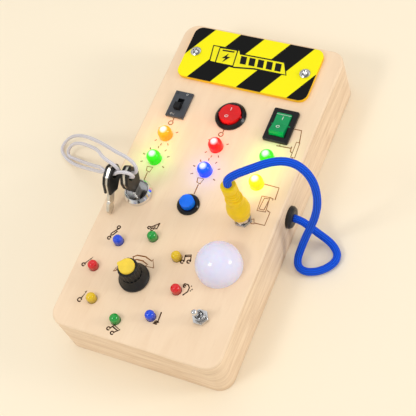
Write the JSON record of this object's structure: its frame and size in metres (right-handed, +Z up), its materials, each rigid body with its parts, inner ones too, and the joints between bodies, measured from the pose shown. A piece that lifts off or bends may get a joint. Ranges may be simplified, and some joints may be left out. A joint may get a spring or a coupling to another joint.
{
  "type": "wooden busy board",
  "caption": "Free-standing wooden toddler busy board with switches, a push button, a key lock, a rotary selector, a dome lamp, a plug on a cord and small lamps.",
  "frame": {"origin": "middle of the case's underside, on the surface it stands on", "axes": "+Z up, +Y along the board towards the striped plate, +X towards the side where the plug's cord comes out"},
  "size_m": [0.19, 0.2, 0.0868],
  "materials": {
    "case_wood": "clear-coated birch plywood",
    "panel_wood": "plain birch plywood",
    "holder_plastic": "moulded black",
    "door_plastic": "moulded black, fine texture",
    "cell_jacket": "printed sleeve, bare of lettering",
    "contact_metal": "nickel-plated spring steel",
    "screw_steel": "zinc-plated",
    "screw_chrome": "chromed",
    "plate_yellow": "yellow with black diagonal stripes",
    "switch_grey": "dark grey moulding",
    "switch_black": "glossy black",
    "rocker_red": "glossy red with I and O marks",
    "rocker_green": "translucent green with I and O marks",
    "button_blue": "glossy blue",
    "button_black": "glossy black",
    "spring_steel": "bright spring wire",
    "nut_metal": "nickel-plated",
    "lock_chrome": "polished chrome",
    "lock_dark": "dark face",
    "key_metal": "nickel silver",
    "key_plastic": "satin black",
    "string_white": "braided cotton",
    "cord_blue": "woven blue sleeve",
    "cord_end": "woven blue sleeve, tied",
    "led_orange": "lit orange lens",
    "led_green": "lit green lens",
    "led_red": "lit red lens",
    "led_blue": "lit blue lens",
    "led_yellow": "lit yellow lens",
    "ring_red": "unlit red lens",
    "ring_yellow": "unlit yellow lens",
    "ring_green": "unlit green lens",
    "ring_blue": "unlit blue lens",
    "led_white": "water-clear lens",
    "board_green": "circuit board",
    "terminal_metal": "tinned brass",
    "selector_plastic": "moulded black",
    "shaft_metal": "turned aluminium",
    "knob_black": "satin black, fluted",
    "cap_yellow": "glossy yellow",
    "dome_white": "glossy opal",
    "toggle_metal": "nickel-plated",
    "jack_metal": "nickel-plated",
    "jack_plastic": "black insulator",
    "plug_yellow": "soft glossy yellow",
    "plug_metal": "nickel-plated",
    "grommet_rubber": "black rubber"
  },
  "bodies": {
    "board": {"case_body": "case_wood", "bottom_panel": "panel_wood", "panel_screws": "screw_steel", "battery_door": "door_plastic", "battery_holder": "holder_plastic", "battery_cells": "cell_jacket", "battery_contacts": "contact_metal", "hazard_plate": "plate_yellow", "plate_screws": "screw_chrome", "slide_switch_housing": "switch_grey", "round_rocker_housing": "switch_black", "square_rocker_housing": "switch_black", "push_button_housing": "button_black", "push_button_spring": "spring_steel", "push_button_nut": "nut_metal", "lock_body": "lock_chrome", "lock_nut": "nut_metal", "led_orange": "led_orange", "led_green_left": "led_green", "led_green_right": "led_green", "led_red": "led_red", "led_blue": "led_blue", "led_yellow": "led_yellow", "ring_leds_red": "ring_red", "ring_leds_yellow": "ring_yellow", "ring_leds_green": "ring_green", "ring_leds_blue": "ring_blue", "lamp_led": "led_white", "status_circuit_board": "board_green", "ring_circuit_board": "board_green", "switch_terminals": "terminal_metal", "selector_switch_body": "selector_plastic", "selector_nut": "nut_metal", "lamp_dome": "dome_white", "toggle_body": "toggle_metal", "toggle_nut": "nut_metal", "jack_sleeve": "jack_metal", "jack_insulator": "jack_plastic", "jack_nut": "nut_metal", "plug_cord": "cord_blue", "cord_grommet": "grommet_rubber", "cord_knot": "cord_end"},
    "slide_switch_knob": {"slide_switch_knob": "switch_black"},
    "round_rocker": {"round_rocker_button": "rocker_red"},
    "square_rocker": {"square_rocker_button": "rocker_green"},
    "push_button": {"push_button_cap": "button_blue"},
    "key": {"lock_barrel": "lock_dark", "key_blade": "key_metal", "key_head": "key_plastic", "key_string": "string_white"},
    "spare_key": {"spare_key_blade": "key_metal", "spare_key_head": "key_plastic"},
    "selector": {"selector_shaft": "shaft_metal", "knob_body": "knob_black", "knob_cap": "cap_yellow"},
    "toggle": {"toggle_lever": "toggle_metal"},
    "plug": {"plug_skirt": "plug_metal", "plug_pin": "plug_metal", "plug_barrel": "plug_yellow"}
  },
  "joints": [
    {"name": "slide_switch_travel", "type": "slide", "parent": "board", "child": "slide_switch_knob", "axis": [0, 1, 0], "range_m": [0, 0.004]},
    {"name": "round_rocker_tilt", "type": "hinge", "parent": "board", "child": "round_rocker", "pos_m": [0, 0.0443, 0.0333], "axis": [1, 0, 0], "range_deg": [0, 18]},
    {"name": "square_rocker_tilt", "type": "hinge", "parent": "board", "child": "square_rocker", "pos_m": [0.0306, 0.045, 0.0332], "axis": [1, 0, 0], "range_deg": [0, 18]},
    {"name": "push_button_press", "type": "slide", "parent": "board", "child": "push_button", "axis": [0, 0, -1], "range_m": [0, 0.003], "stiffness_N_per_m": 400, "springref_m": -0.001, "deforming": ["push_button_spring"]},
    {"name": "key_turn", "type": "hinge", "parent": "board", "child": "key", "pos_m": [-0.0321, -0.0155, 0.036], "axis": [0, 0, 1], "range_deg": [0, 90], "deforming": ["key_string"]},
    {"name": "spare_key_swing", "type": "hinge", "parent": "key", "child": "spare_key", "pos_m": [-0.0404, -0.0175, 0.05541], "axis": [-1, 0, 0], "range_deg": [0, 60]},
    {"name": "selector_turn", "type": "hinge", "parent": "board", "child": "selector", "pos_m": [-0.0129, -0.0637, 0.0326], "axis": [0, 0, 1], "range_deg": [-180, 135]},
    {"name": "toggle_tilt", "type": "hinge", "parent": "board", "child": "toggle", "pos_m": [0.0312, -0.0746, 0.0344], "axis": [-1, 0, 0], "range_deg": [0, 22]},
    {"name": "plug_pull", "type": "slide", "parent": "board", "child": "plug", "axis": [0, 0, 1], "range_m": [0, 0.02], "deforming": ["plug_cord"]}
  ]
}
